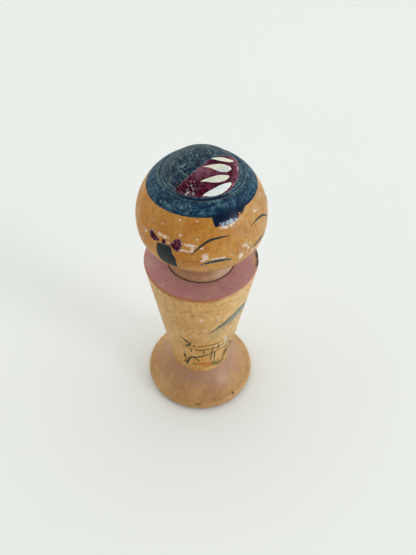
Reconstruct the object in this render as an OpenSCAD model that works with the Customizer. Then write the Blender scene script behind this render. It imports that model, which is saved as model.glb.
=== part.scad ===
// Kokeshi doll: a turned wooden head with a dome-shaped bun, which turns on its
// neck spindle in a tapered body that stands on a flared foot.
// Millimetres, +Z up, origin at the middle of the flat underside of the foot.

/* [Head] */
// Diameter of the ball of the head
head_d = 46; // [42:0.5:48]
// Radius of the dome on top of the head
bun_r = 16; // [14:0.5:17]
// How far the centre of the dome lies above the centre of the head
bun_lift = 9.3; // [8.5:0.1:10.5]
// Radius of the hollow turned into the ball round the foot of the dome
crease_r = 1.6; // [1.2:0.1:2]
// Depth of that hollow
crease_depth = 0.6; // [0.3:0.1:0.8]
// How far the middle of the hollow lies outside the place where dome and ball meet
crease_out = 1.2; // [0.8:0.1:1.4]
// Radius of the rounding under the cheeks
cheek_r = 9; // [8:0.5:10]
// How many degrees below the middle of the head that rounding begins
cheek_angle = 8; // [4:1:12]
// Radius of the flat curve under the chin
chin_r = 28; // [27:0.5:32]

/* [Neck] */
// Diameter of the collar and of the spigot that turns in the body
neck_d = 25.5; // [22:0.5:28]
// Length of neck that shows between the body and the head
neck_show = 8.7; // [6:0.1:10]
// Diameter of the tenon glued into the head
tenon_d = 14; // [10:0.5:16]
// Length of the tenon glued into the head
tenon_len = 15; // [10:0.5:20]
// Depth of the spigot in the body
spigot_len = 16; // [12:0.5:20]
// Radius of the retaining bead round the spigot
bead_r = 1.4; // [1:0.1:1.6]
// Radial clearance of the turning fit
fit = 0.08; // [0.05:0.01:0.1]

/* [Body] */
// Diameter of the top of the body
body_top_d = 43.5; // [40:0.5:48]
// Diameter of the body where it meets the foot
waist_d = 25; // [22:0.5:30]
// Height of the body above the foot
body_h = 60; // [50:1:80]
// Diameter of the tenon at the bottom of the body
peg_d = 14; // [10:0.5:16]
// Length of the tenon at the bottom of the body
peg_len = 9; // [6:0.5:10]

/* [Foot] */
// Diameter of the foot over its rounded rim
foot_d = 47; // [44:0.5:54]
// Height of the foot
foot_h = 14.3; // [12.5:0.1:18]
// Thickness of the rounded rim
rim_h = 4.2; // [3:0.1:5]
// How far the flare of the foot is hollowed below a straight cone
flare_sag = 1.1; // [0.6:0.1:1.6]

/* [Hidden] */
$fn = 128;

head_r = head_d / 2;
neck_r = neck_d / 2;
seat_r = neck_r + 0.6;
edge = 0.5;
body_top = foot_h + body_h;
seat_z = body_top + neck_show;

// Under its middle the ball runs on smoothly into the cheek rounding, and that
// into the chin curve, which ends in the flat seat that rests on the neck.
cheek_at = (head_r - cheek_r) * [cos(cheek_angle), -sin(cheek_angle)];
chin_angle = acos(cheek_at.x / (chin_r - cheek_r));
chin_lift = cheek_at.y + (chin_r - cheek_r) * sin(chin_angle);
chin_drop = sqrt(chin_r * chin_r - seat_r * seat_r) - chin_lift;
head_z = seat_z + chin_drop;

// The hollow of the crease follows the ring where the dome meets the ball.
meet_z = (head_r * head_r - bun_r * bun_r + bun_lift * bun_lift) / (2 * bun_lift);
crease_angle = asin(meet_z / head_r) - crease_out / head_r * 180 / PI;
crease_at = (head_r + crease_r - crease_depth) * [cos(crease_angle), sin(crease_angle)];

bead_z = body_top - spigot_len / 2;
bead_in = 0.4;

// The hollow of the flare is an arc through the waist and the top of the rim.
waist = [waist_d / 2, foot_h];
rim_r = rim_h / 2;
rim_at = [foot_d / 2 - rim_r, rim_r];
brim = [rim_at.x, rim_h];
chord = brim - waist;
chord_len = norm(chord);
flare_r = chord_len * chord_len / (8 * flare_sag) + flare_sag / 2;
outward = [-chord.y, chord.x] / chord_len;
flare_at = (waist + brim) / 2 + outward * (flare_r - flare_sag);

// Everything right of the axis, so that a profile can be turned
module right_half() {
    intersection() {
        children();
        translate([0, -10])
            square([100, 300]);
    }
}

// The part of a disc that lies between two angles
module sector(at, r, from, to) {
    far = 3 * r;
    middle = (from + to) / 2;
    intersection() {
        translate(at)
            circle(r);
        polygon([
            at,
            at + far * [cos(from), sin(from)],
            at + far * [cos(middle), sin(middle)],
            at + far * [cos(to), sin(to)]
        ]);
    }
}

// The head without its dome, around its own middle
module ball_profile() {
    sector([0, 0], head_r, -cheek_angle, 90);
    sector(cheek_at, cheek_r, -chin_angle, -cheek_angle);
    sector([0, chin_lift], chin_r, -90, -chin_angle);
}

module head_profile() {
    difference() {
        union() {
            difference() {
                translate([0, head_z])
                    ball_profile();
                translate([crease_at.x, head_z + crease_at.y])
                    circle(crease_r);
            }
            translate([0, head_z + bun_lift])
                circle(bun_r);
        }
        translate([-50, seat_z - 50])
            square([100, 50]);
        translate([-1, seat_z - 1])
            square([tenon_d / 2 + 1, tenon_len + 1]);
    }
}

module head() {
    color("#c99a5b")
        rotate_extrude()
            right_half()
                head_profile();
}

module neck_profile() {
    translate([0, body_top - spigot_len + fit])
        square([neck_r, spigot_len - fit + neck_show]);
    translate([0, seat_z])
        square([tenon_d / 2, tenon_len]);
    translate([neck_r - bead_in, bead_z])
        circle(bead_r);
}

module neck() {
    color("#a08a78")
        rotate_extrude()
            neck_profile();
}

module body_profile() {
    difference() {
        polygon([
            [0, foot_h - peg_len],
            [peg_d / 2, foot_h - peg_len],
            [peg_d / 2, foot_h],
            [waist_d / 2, foot_h],
            [body_top_d / 2, body_top - edge],
            [body_top_d / 2 - edge, body_top],
            [0, body_top]
        ]);
        translate([-1, body_top - spigot_len])
            square([neck_r + fit + 1, spigot_len + 1]);
        translate([neck_r - bead_in, bead_z])
            circle(bead_r + fit);
    }
}

module body() {
    color("#c79c5e")
        rotate_extrude()
            body_profile();
}

module foot_profile() {
    difference() {
        union() {
            polygon([
                [0, 0],
                [rim_at.x, 0],
                brim,
                waist,
                [0, foot_h]
            ]);
            translate(rim_at)
                circle(rim_r);
        }
        translate(flare_at)
            circle(flare_r);
        translate([-1, foot_h - peg_len])
            square([peg_d / 2 + 1, peg_len + 1]);
    }
}

module foot() {
    color("#b18a62")
        rotate_extrude()
            foot_profile();
}

head();
neck();
body();
foot();
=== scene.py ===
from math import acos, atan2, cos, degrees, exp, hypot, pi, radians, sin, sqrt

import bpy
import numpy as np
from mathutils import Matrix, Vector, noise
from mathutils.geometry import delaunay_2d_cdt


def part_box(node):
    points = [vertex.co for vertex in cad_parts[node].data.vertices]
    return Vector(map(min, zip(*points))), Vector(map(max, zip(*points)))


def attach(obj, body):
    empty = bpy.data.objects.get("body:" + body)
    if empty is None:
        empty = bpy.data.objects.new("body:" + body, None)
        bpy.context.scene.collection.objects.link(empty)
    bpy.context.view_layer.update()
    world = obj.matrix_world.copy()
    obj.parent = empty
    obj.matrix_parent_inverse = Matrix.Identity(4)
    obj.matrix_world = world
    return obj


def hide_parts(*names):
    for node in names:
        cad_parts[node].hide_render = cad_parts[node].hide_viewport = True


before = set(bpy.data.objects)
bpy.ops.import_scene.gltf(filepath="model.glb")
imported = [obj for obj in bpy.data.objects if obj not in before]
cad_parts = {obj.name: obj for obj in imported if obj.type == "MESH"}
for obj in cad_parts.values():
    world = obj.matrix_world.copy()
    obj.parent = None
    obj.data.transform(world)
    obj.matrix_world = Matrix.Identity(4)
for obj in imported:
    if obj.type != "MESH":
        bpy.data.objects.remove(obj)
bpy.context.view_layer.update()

# Kokeshi doll: turned, lacquered and painted wood, worn by handling.
#
# Lengths are millimetres in the shared frame until a mesh is made. The face looks along -Y, so an azimuth
# of 0 is the middle of the face, and it grows towards +X, the doll's left. Latitudes are seen from the
# centre of the head.

MM = 0.001
PAINT = 0.05

# ---- sizes


def corners(node):
    """The CAD node's lowest and highest corners, in millimetres."""
    low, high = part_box(node)
    return Vector(low) / MM, Vector(high) / MM


head_low, head_high = corners("head")
body_low, body_high = corners("body")
foot_high = corners("foot")[1]

HEAD_R = 23.0
BUN_R = 16.0
BUN_LIFT = 9.3
HEAD_Z = head_high.z - BUN_R - BUN_LIFT
CHEEK_R = 9.0
CHEEK_ANGLE = radians(8.0)
CHEEK_X = (HEAD_R - CHEEK_R) * cos(CHEEK_ANGLE)
CHEEK_Y = -(HEAD_R - CHEEK_R) * sin(CHEEK_ANGLE)
CHIN_R = 28.0
CHIN_ANGLE = acos(CHEEK_X / (CHIN_R - CHEEK_R))
CHIN_LIFT = CHEEK_Y + (CHIN_R - CHEEK_R) * sin(CHIN_ANGLE)
CHIN_LAT = atan2(CHIN_LIFT - CHIN_R * sin(CHIN_ANGLE), CHIN_R * cos(CHIN_ANGLE))
SEAT_Z = head_low.z
SEAT_R = 13.35
TENON_R = 7.0
TENON_LEN = 15.0

TOP_Z = body_high.z
WAIST_Z = foot_high.z
TOP_R = 21.75
WAIST_R = 12.5
SOCKET_R = 12.83
SOCKET_DEPTH = 16.0
PEG_R = 7.0
ROUNDING = 0.5

FOOT_R = 23.5
RIM_R = 2.1
FLARE_SAG = 1.1

HOLLOW_R = 1.6
HOLLOW_FAR = 24.0
HOLLOW_LAT = 54.25
FINE = 0.25
GROOVES = ((50.4, 0.08, 0.4), (60.5, 0.06, 0.4), (64.5, 0.05, 0.4), (47.5, 0.05, 0.6))


def ramp(low, high, x):
    """0 up to low, 1 from high, and smooth between."""
    t = min(max((x - low) / (high - low), 0.0), 1.0)
    return t * t * (3 - 2 * t)


def reach(lat, rise, radius):
    """How far a ball whose centre is raised by rise reaches from the head's centre in the direction lat."""
    return rise * sin(lat) + sqrt(radius**2 - (rise * cos(lat)) ** 2)


def head_reach(lat_degrees):
    """Distance from the head's centre to its surface at a latitude in degrees."""
    lat = radians(lat_degrees)
    if lat < CHIN_LAT:
        return reach(lat, CHIN_LIFT, CHIN_R)
    if lat < -CHEEK_ANGLE:
        along = CHEEK_X * cos(lat) + CHEEK_Y * sin(lat)
        return along + sqrt(CHEEK_R**2 - (HEAD_R - CHEEK_R) ** 2 + along**2)
    off = lat - radians(HOLLOW_LAT)
    deep = HOLLOW_R**2 - (HOLLOW_FAR * sin(off)) ** 2
    ball = HEAD_R if deep < 0 else min(HEAD_R, HOLLOW_FAR * cos(off) - sqrt(deep))
    out = max(ball, reach(lat, BUN_LIFT, BUN_R))
    for at, depth, width in GROOVES:
        out -= depth * exp(-(((lat_degrees - at) * 0.42 / width) ** 2) * 2)
    return out


def head_spot(azimuth, lat, lift=0.0):
    """The point on the head at an azimuth and a latitude in degrees, lifted off the wood."""
    far = head_reach(lat) + lift
    a, t = radians(azimuth), radians(lat)
    flat = far * cos(t)
    return Vector((flat * sin(a), -flat * cos(a), HEAD_Z + far * sin(t)))


def bun_spot(x, y, lift=0.0):
    """The point of the bun's dome straight above (x, y)."""
    up = sqrt(max(BUN_R**2 - x * x - y * y, 0.0))
    out = Vector((x, y, up)) * ((BUN_R + lift) / BUN_R)
    return out + Vector((0, 0, HEAD_Z + BUN_LIFT))


def body_radius(z):
    """Radius of the tapered body at a height."""
    return WAIST_R + (TOP_R - WAIST_R) * (z - WAIST_Z) / (TOP_Z - WAIST_Z)


def body_spot(azimuth, z, lift=0.0):
    """The point on the side of the body at an azimuth in degrees and a height."""
    a = radians(azimuth)
    flat = body_radius(z) + lift
    return Vector((flat * sin(a), -flat * cos(a), z))


def head_scale(azimuth, lat):
    """Millimetres to a degree of azimuth and to a degree of latitude."""
    return HEAD_R * cos(radians(lat)) * pi / 180, HEAD_R * pi / 180


def bun_scale(x, y):
    return 1.0, 1.0


def body_scale(azimuth, z):
    return body_radius(z) * pi / 180, 1.0


# A surface to paint on: its places, its scales, its body and its material slot.
HEAD = (head_spot, head_scale, "head", "head_lacquered_wood")
BUN = (bun_spot, bun_scale, "head", "head_lacquered_wood")
BODY = (body_spot, body_scale, "body", "body_lacquered_wood")


def azimuth_of(x, y):
    return degrees(atan2(x, -y))


def latitude_of(x, y, z):
    return degrees(atan2(z - HEAD_Z, hypot(x, y)))


def turn_from(middle, azimuth):
    """How far an azimuth lies from a middle one, between -180 and 180."""
    return (azimuth - middle + 180) % 360 - 180


def ridge(value, middle, wide):
    """1 in the middle and fading out at both sides."""
    return exp(-(((value - middle) / wide) ** 2))


def strongest(azimuth, level, marks, spread=1.0):
    """The strongest at a place of soft marks: azimuth, level, half width, half height and strength."""
    most = 0.0
    for a, b, wide, tall, strength in marks:
        off = (turn_from(a, azimuth) / wide) ** 2 + ((level - b) / tall) ** 2
        most = max(most, strength * exp(-off / spread**2))
    return most


# ---- mesh tools


def ramble(x, y=0.0, z=0.0):
    """A repeatable wandering number between about -1 and 1."""
    return noise.noise(Vector((x, y, z)))


def new_object(name, points, faces, material, body):
    """A smooth mesh piece that rides on a CAD body."""
    mesh = bpy.data.meshes.new(name)
    mesh.from_pydata([tuple(Vector(p) * MM) for p in points], [], faces)
    mesh.validate()
    mesh.shade_smooth()
    mesh.set_sharp_from_angle(angle=radians(38))
    mesh.materials.append(material)
    piece = bpy.data.objects.new(name, mesh)
    bpy.context.scene.collection.objects.link(piece)
    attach(piece, body)
    return piece


def on_head(value):
    """Makes a function of azimuth and latitude one of a place."""
    return lambda x, y, z: value(azimuth_of(x, y), latitude_of(x, y, z))


def paint_points(piece, name, value):
    """Stores value(x, y, z), with the place in millimetres, on every point of the piece."""
    mesh = piece.data
    marks = mesh.attributes.new(name, "FLOAT", "POINT")
    marks.data.foreach_set("value", [value(*(v.co / MM)) for v in mesh.vertices])


def lathe(name, profile, turns, material, body, shift=None):
    """A closed turned solid. The profile runs from the axis, round the outside, to the axis again."""
    points, faces = [Vector((0, 0, profile[0][1]))], []
    rings = profile[1:-1]
    for r, z in rings:
        for k in range(turns):
            a = 2 * pi * k / turns
            p = Vector((r * sin(a), -r * cos(a), z))
            points.append(shift(p) if shift else p)
    points.append(Vector((0, 0, profile[-1][1])))
    last = len(points) - 1
    for k in range(turns):
        n = (k + 1) % turns
        faces.append((0, 1 + n, 1 + k))
        for i in range(len(rings) - 1):
            a, b = 1 + i * turns, 1 + (i + 1) * turns
            faces.append((a + k, a + n, b + n, b + k))
        top = 1 + (len(rings) - 1) * turns
        faces.append((last, top + k, top + n))
    return new_object(name, points, faces, material, body)


def arc(cx, cz, radius, start, end, steps):
    """Points along an arc of a profile, angles in degrees from the outward direction."""
    out = []
    for i in range(steps + 1):
        a = radians(start + (end - start) * i / steps)
        out.append((cx + radius * cos(a), cz + radius * sin(a)))
    return out


def line(start, end, steps):
    """Points along a straight stretch of a profile, without its last one."""
    return [tuple(np.array(start) + (np.array(end) - start) * i / steps) for i in range(steps)]


def inside(points, outline):
    """Which of the points lie inside a closed outline."""
    x, y = points[:, 0], points[:, 1]
    hit = np.zeros(len(points), bool)
    for (x0, y0), (x1, y1) in zip(outline, np.roll(outline, -1, 0)):
        cross = (y0 > y) != (y1 > y)
        with np.errstate(divide="ignore", invalid="ignore"):
            hit ^= cross & (x < (x1 - x0) * (y - y0) / (y1 - y0) + x0)
    return hit


def edge_distance(points, outline):
    """How far each point lies from a closed outline."""
    best = np.full(len(points), 1e9)
    for a, b in zip(outline, np.roll(outline, -1, 0)):
        d = b - a
        t = np.clip(((points - a) @ d) / max(d @ d, 1e-12), 0, 1)
        best = np.minimum(best, np.linalg.norm(points - a - t[:, None] * d, axis=1))
    return best


def coat(name, outline, chart, lift, material, cell=0.45, under=0.0):
    """A thin coat of paint inside an outline, with a rounded edge, over a coat that is already under it."""
    spot, scale_at, body, slot = chart
    outline = np.array(outline, float)
    scale = np.array(scale_at(*outline.mean(0)))
    edge = outline * scale
    low, high = edge.min(0), edge.max(0)
    gx, gy = np.meshgrid(np.arange(low[0], high[0], cell), np.arange(low[1], high[1], cell * 0.87))
    gx[1::2] += cell / 2
    grid = np.column_stack([gx.ravel(), gy.ravel()])
    grid = grid[inside(grid, edge)]
    grid = grid[edge_distance(grid, edge) > cell * 0.4]
    count = len(edge)
    flat = [Vector(p) for p in edge] + [Vector(p) for p in grid]
    verts, _, faces, _, _, _ = delaunay_2d_cdt(flat, [], [list(range(count))], 1, 1e-6)
    flat = np.array([tuple(v) for v in verts])
    depth = edge_distance(flat, edge)
    points = []
    for (x, y), far in zip(flat / scale, depth):
        points.append(spot(x, y, under + (lift - under) * (0.4 + 0.6 * ramp(0, cell * 0.6, far))))
    faces = [tuple(f) for f in faces]
    rim = {}
    for f in faces:
        for a, b in zip(f, f[1:] + f[:1]):
            if (b, a) in rim:
                del rim[(b, a)]
            else:
                rim[(a, b)] = True
    sunk = {}
    for a, _ in rim:
        sunk[a] = len(points)
        points.append(spot(*(flat[a] / scale), -0.06))
    faces += [(b, a, sunk[a], sunk[b]) for a, b in rim]
    piece = new_object(name, points, faces, material, body)
    inner = piece.data.attributes.new("inner", "FLOAT", "POINT")
    values = [min(d / 0.6, 1.0) for d in depth] + [0.0] * len(sunk)
    inner.data.foreach_set("value", values)
    return piece


def curve(path, steps):
    """A smooth line through the points of a path."""
    p = [np.array(q, float) for q in path]
    p = [2 * p[0] - p[1]] + p + [2 * p[-1] - p[-2]]
    out = []
    for i in range(1, len(p) - 2):
        for k in range(steps):
            t = k / steps
            a = 2 * p[i]
            b = p[i + 1] - p[i - 1]
            c = 2 * p[i - 1] - 5 * p[i] + 4 * p[i + 1] - p[i + 2]
            d = 3 * p[i] - p[i - 1] - 3 * p[i + 1] + p[i + 2]
            out.append((a + b * t + c * t * t + d * t**3) / 2)
    return out + [p[-2]]


def stroke(chart, path, widths, ragged, seed):
    """The outline of a brush stroke along a path, with its widths in millimetres and edges that waver."""
    middle = np.array(curve(path, 10))
    scale = np.array(chart[1](*middle.mean(0)))
    middle = middle * scale
    run = np.gradient(middle, axis=0)
    side = np.column_stack([-run[:, 1], run[:, 0]]) / np.linalg.norm(run, axis=1)[:, None]
    along = np.concatenate([[0], np.cumsum(np.linalg.norm(np.diff(middle, axis=0), axis=1))])
    width = np.interp(along / along[-1], np.linspace(0, 1, len(widths)), widths)
    left, right = [], []
    for m, s, w, far in zip(middle, side, width, along):
        left.append(m + s * w * (0.5 + ragged * ramble(far * 1.9, seed, 3.1)))
        right.append(m - s * w * (0.5 + ragged * ramble(far * 1.7, seed, 8.7)))
    tip = [middle[-1] + (middle[-1] - middle[-2]) * 0.3]
    tail = [middle[0] - (middle[1] - middle[0]) * 0.3]
    return np.array(right + tip + left[::-1] + tail) / scale


def brush(name, chart, path, widths, ragged, seed, material, cell=0.3):
    """One painted brush stroke."""
    return coat(name, stroke(chart, path, widths, ragged, seed), chart, PAINT, material, cell)


def blob(chart, centre, across, tall, ragged=0.12, seed=0, lean=0.0, corners=28):
    """The outline of a dab of paint, across by tall millimetres."""
    scale = np.array(chart[1](*centre))
    out = []
    for k in range(corners):
        a = 2 * pi * k / corners
        grow = 1 + ragged * ramble(cos(a) * 1.6 + seed * 7, sin(a) * 1.6, seed)
        x, y = cos(a) * across / 2 * grow, sin(a) * tall / 2 * grow
        turn = radians(lean)
        out.append((x * cos(turn) - y * sin(turn), x * sin(turn) + y * cos(turn)))
    return np.array(out) / scale + np.array(centre)


def smooth_outline(points, steps=6):
    """A closed outline rounded through its points."""
    p = np.array(points, float)
    n = len(p)
    out = []
    for i in range(n):
        a, b, c, d = p[i - 1], p[i], p[(i + 1) % n], p[(i + 2) % n]
        for k in range(steps):
            t = k / steps
            bend = (2 * a - 5 * b + 4 * c - d) * t * t
            out.append((2 * b + (c - a) * t + bend + (3 * b - a - 3 * c + d) * t**3) / 2)
    return np.array(out)


# ---- material tools

AMBER_DARK = (0.20, 0.08, 0.02)
# Colour of grime, also used for painted shade.
GRIME_AND_SHADE = (0.045, 0.028, 0.018)
WORN_CREAM = (0.70, 0.56, 0.46)
WORN_WHITE = (0.72, 0.70, 0.62)
MAUVE = (0.53, 0.262, 0.300)
NAVY = (0.0009, 0.0085, 0.038)
RUBBED = (0.046, 0.145, 0.205)
MAROON = (0.062, 0.0035, 0.018)
CREAM = (0.70, 0.70, 0.58)
INK = (0.010, 0.018, 0.018)
HEAD_HAZE_AND_LIGHT = (0.50, 0.40, 0.25)
BODY_HAZE_AND_SHEEN = (0.70, 0.51, 0.245)
MAUVE_FADED = (0.57, 0.355, 0.31)
MAUVE_SPECK = (0.25, 0.09, 0.13)
MAUVE_RIM = (0.60, 0.29, 0.25)
STAIN_WARM = (0.35, 0.17, 0.095)
STAIN_COOL = (0.37, 0.22, 0.175)
NECK_CHIN_SHADE = (0.35, 0.18, 0.095)
NECK_LIT = (0.62, 0.50, 0.40)
NECK_DIRT = (0.30, 0.19, 0.13)
NECK_SHADE = (0.05, 0.03, 0.025)
DOME_RUBBED = (0.042, 0.090, 0.115)
BLOOM = (0.16, 0.245, 0.27)
DOME_BLOOM = (0.19, 0.24, 0.23)
SCRATCH = (0.24, 0.29, 0.27)
GOUGE = (0.002, 0.010, 0.022)
RING_PALE = (0.27, 0.31, 0.27)
HAIR_CHIP = (0.42, 0.50, 0.58)
MAROON_LIGHT = (0.135, 0.013, 0.045)
MAROON_DARK = (0.018, 0.002, 0.008)
MAROON_DUST = (0.33, 0.16, 0.20)
MAROON_CHIP = (0.62, 0.54, 0.56)
PETAL_SHADE = (0.36, 0.42, 0.52)
RUST = (0.33, 0.105, 0.008)
EARTH = (0.10, 0.045, 0.010)
OLIVE = (0.115, 0.105, 0.035)
ORANGE = (0.44, 0.13, 0.010)


class Look:
    """A material under construction: short calls that add nodes and return their outputs."""

    def __init__(self, name, roughness=0.5, coat=0.0, coat_roughness=0.2, specular=0.5):
        self.material = bpy.data.materials.new(name)
        self.material.use_nodes = True
        self.tree = self.material.node_tree
        self.surface = self.tree.nodes["Principled BSDF"]
        self.surface.inputs["Roughness"].default_value = roughness
        self.surface.inputs["Specular IOR Level"].default_value = specular
        self.surface.inputs["Coat Weight"].default_value = coat
        self.surface.inputs["Coat Roughness"].default_value = coat_roughness
        here = self.node("TexCoord", {}).outputs["Object"]
        self.place = self.vector("MULTIPLY", here, (1 / MM, 1 / MM, 1 / MM))
        self.x, self.y, self.z = self.node("SeparateXYZ", {0: self.place}).outputs
        self.radius = self.calc("POWER", self.plus(self.square(self.x), self.square(self.y)), 0.5)

    def put(self, socket, value):
        if isinstance(value, bpy.types.NodeSocket):
            self.tree.links.new(value, socket)
        else:
            socket.default_value = value

    def node(self, kind, inputs, **settings):
        """A new node with its settings, and its inputs by name or number."""
        node = self.tree.nodes.new("ShaderNode" + kind)
        for name, value in settings.items():
            setattr(node, name, value)
        for socket, value in inputs.items():
            self.put(node.inputs[socket], value)
        return node

    def calc(self, operation, a, b=0.0, clamp=False):
        return self.node("Math", {0: a, 1: b}, operation=operation, use_clamp=clamp).outputs[0]

    def times(self, a, b, clamp=False):
        return self.calc("MULTIPLY", a, b, clamp)

    def plus(self, a, b):
        return self.calc("ADD", a, b)

    def minus(self, a, b):
        return self.calc("SUBTRACT", a, b)

    def square(self, a):
        return self.times(a, a)

    def vector(self, operation, a, b):
        return self.node("VectorMath", {0: a, 1: b}, operation=operation).outputs[0]

    def join(self, x, y, z):
        return self.node("CombineXYZ", {0: x, 1: y, 2: z}).outputs[0]

    def noise(self, scale, detail=4.0, rough=0.55, at=None, stretch=(1, 1, 1), twist=0.0):
        where = self.vector("MULTIPLY", self.place if at is None else at, stretch)
        inputs = {
            "Vector": where, "Scale": scale, "Detail": detail, "Roughness": rough, "Distortion": twist
        }
        return self.node("TexNoise", inputs).outputs["Fac"]

    def band(self, value, low, high, out_low=0.0, out_high=1.0):
        """Smoothly from out_low where the value is low to out_high where it is high."""
        inputs = {"Value": value, "From Min": low, "From Max": high, "To Min": out_low, "To Max": out_high}
        return self.node("MapRange", inputs, interpolation_type="SMOOTHSTEP").outputs["Result"]

    def mix(self, amount, a, b):
        node = self.node("Mix", {"Factor": amount}, data_type="RGBA")
        for socket, tone in zip((6, 7), (a, b)):
            self.put(node.inputs[socket], tone if isinstance(tone, bpy.types.NodeSocket) else (*tone, 1))
        return node.outputs[2]

    def mark(self, name, kind="Fac"):
        return self.node("Attribute", {}, attribute_name=name).outputs[kind]

    def bump(self, height, depth):
        inputs = {"Height": height, "Distance": depth * MM, "Strength": 1.0}
        return self.node("Bump", inputs).outputs["Normal"]

    def around(self, wide, fine):
        """A place for noise drawn out round the doll's axis, as turning and rubbing leave it."""
        far = self.calc("MAXIMUM", self.radius, 0.4)
        east = self.times(self.calc("DIVIDE", self.x, far), wide)
        north = self.times(self.calc("DIVIDE", self.y, far), wide)
        outward = self.minus(self.radius, self.times(self.z, 0.7))
        return self.join(east, north, self.times(outward, fine))

    def finish(self, colour, roughness=None, normal=None):
        self.put(self.surface.inputs["Base Color"], colour)
        if roughness is not None:
            self.put(self.surface.inputs["Roughness"], roughness)
        if normal is not None:
            self.put(self.surface.inputs["Normal"], normal)
        return self.material


def wood_figure(look, pale, deep, dark, mottled=1.0):
    """Colour of turned wood: growth rings round a pith off to one side, fine fibres and blotches."""
    warp = look.noise(0.055, 3, stretch=(1, 1, 0.35))
    dx = look.plus(look.x, 31.0)
    dy = look.plus(look.y, -17.0)
    far = look.calc("POWER", look.plus(look.square(dx), look.square(dy)), 0.5)
    far = look.plus(far, look.times(warp, 9.0))
    rings = look.calc("SINE", look.times(far, 2.3))
    rings = look.band(rings, 0.1, 1.0)
    fibres = look.noise(1.0, 5, 0.65, stretch=(2.6, 2.6, 0.16))
    pores = look.band(look.noise(1.0, 3, 0.6, stretch=(3.4, 3.4, 0.7)), 0.58, 0.70)
    dashes = look.band(look.noise(1.0, 3, 0.6, at=look.around(13.0, 3.2)), 0.60, 0.72)
    blotch = look.noise(0.12, 4, 0.6)
    mottle = look.noise(0.75, 5, 0.7)
    colour = look.mix(look.band(blotch, 0.34, 0.66), deep, pale)
    colour = look.mix(look.times(rings, 0.35), colour, deep)
    colour = look.mix(look.band(fibres, 0.42, 0.68, 0.0, 0.6), colour, deep)
    colour = look.mix(look.band(mottle, 0.46, 0.72, 0.0, 0.38 * mottled), colour, dark)
    colour = look.mix(
        look.band(mottle, 0.50, 0.28, 0.0, 0.35 * mottled), colour, tuple(1.35 * c for c in pale)
    )
    colour = look.mix(look.times(pores, 0.28 * mottled), colour, dark)
    colour = look.mix(look.times(dashes, 0.35 * mottled), colour, dark)
    return colour, fibres, pores


def worn(look, colour, cream):
    """Pale abraded spots where the mark 'scuff' is high, and a few specks anywhere."""
    chips = look.noise(0.62, 6, 0.72, twist=0.6)
    limit = look.minus(0.76, look.times(look.mark("scuff"), 0.36))
    hit = look.times(look.minus(chips, limit), 14.0, clamp=True)
    hit = look.times(hit, 0.85)
    return look.mix(hit, colour, cream), hit


def lacquer_wood(name, pale, deep, extra, mottled=1.0):
    """Lacquered turned wood with a haze or a stain, grime mixed with painted shade, pale wear, and its gloss
    and bumps.
    """
    look = Look(name, coat=0.22, coat_roughness=0.28, specular=0.3)
    colour, fibres, pores = wood_figure(look, pale, deep, AMBER_DARK, mottled)
    turned = look.noise(1.0, 2, 0.5, at=look.join(0.0, 0.0, look.z), stretch=(1, 1, 2.6))
    colour = look.mix(look.band(turned, 0.45, 0.75, 0.0, 0.22), colour, deep)
    colour = extra(look, colour)
    # Darkened where the mark is high: real grime, and painted shade under the head, in the socket and along
    # the foot's bottom edge.
    grime_and_shade = look.times(look.mark("grime_and_shade"), look.band(look.noise(0.5, 5, 0.6), 0.3, 0.65, 0.45, 1.0))
    colour = look.mix(grime_and_shade, colour, GRIME_AND_SHADE)
    cream = look.mix(look.band(look.x, -9.0, 1.0), WORN_CREAM, WORN_WHITE)
    colour, hit = worn(look, colour, cream)
    rough = look.band(look.noise(0.35, 4, 0.6), 0.3, 0.7, 0.36, 0.52)
    rough = look.plus(rough, look.times(hit, 0.3))
    height = look.plus(look.times(fibres, 0.5), look.times(turned, 0.7))
    height = look.minus(height, look.times(hit, 0.8))
    height = look.minus(height, look.times(pores, 0.3))
    return look.finish(colour, rough, look.bump(height, 0.07))


def veil_and_light(look, colour, tone=HEAD_HAZE_AND_LIGHT):
    """A pale haze where the mark 'haze' is high, broken into small patches: on the doll's front and left,
    facing the window, partly rubbed lacquer and partly painted sheen; on the low face, painted light.
    """
    dabs = look.noise(0.8, 6, 0.72, stretch=(1, 1, 0.5))
    patchy = look.times(look.band(dabs, 0.42, 0.60, 0.2, 1.15), look.mark("haze"))
    return look.mix(patchy, colour, tone)


def head_material():
    return lacquer_wood("head_lacquer", (0.53, 0.285, 0.065), (0.42, 0.168, 0.012), veil_and_light, 0.75)


def body_material():
    def stain(look, colour):
        """The mauve stain on the body's flat top, which runs a little over its rounded edge."""
        ragged = look.band(look.noise(0.5, 5, 0.6), 0.2, 0.8, -0.12, 0.12)
        level = look.minus(look.z, ragged)
        mauve = look.band(level, TOP_Z - 0.3, TOP_Z - 0.12)
        patchy = look.band(look.noise(0.16, 5, 0.6), 0.3, 0.7)
        tone = look.mix(patchy, MAUVE, MAUVE_FADED)
        speck = look.band(look.noise(1.6, 4, 0.7), 0.48, 0.72, 0, 0.55)
        tone = look.mix(speck, tone, MAUVE_SPECK)
        rim = look.band(look.radius, TOP_R - 1.6, TOP_R - 0.4, 0.0, 0.6)
        tone = look.mix(rim, tone, MAUVE_RIM)
        mauve = look.times(mauve, look.minus(1.0, look.mark("bare")))
        # A pale haze on the front and left: partly rubbed lacquer, partly painted sheen.
        colour = veil_and_light(look, colour, BODY_HAZE_AND_SHEEN)
        colour = look.mix(mauve, colour, tone)
        thin = look.band(look.noise(0.8, 4, 0.6, stretch=(1, 1, 0.4)), 0.25, 0.7, 0.7, 1.0)
        return look.mix(look.times(look.mark("wash", "Alpha"), thin), colour, look.mark("wash", "Color"))

    return lacquer_wood("body_lacquer", (0.62, 0.39, 0.16), (0.49, 0.265, 0.068), stain)


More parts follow.
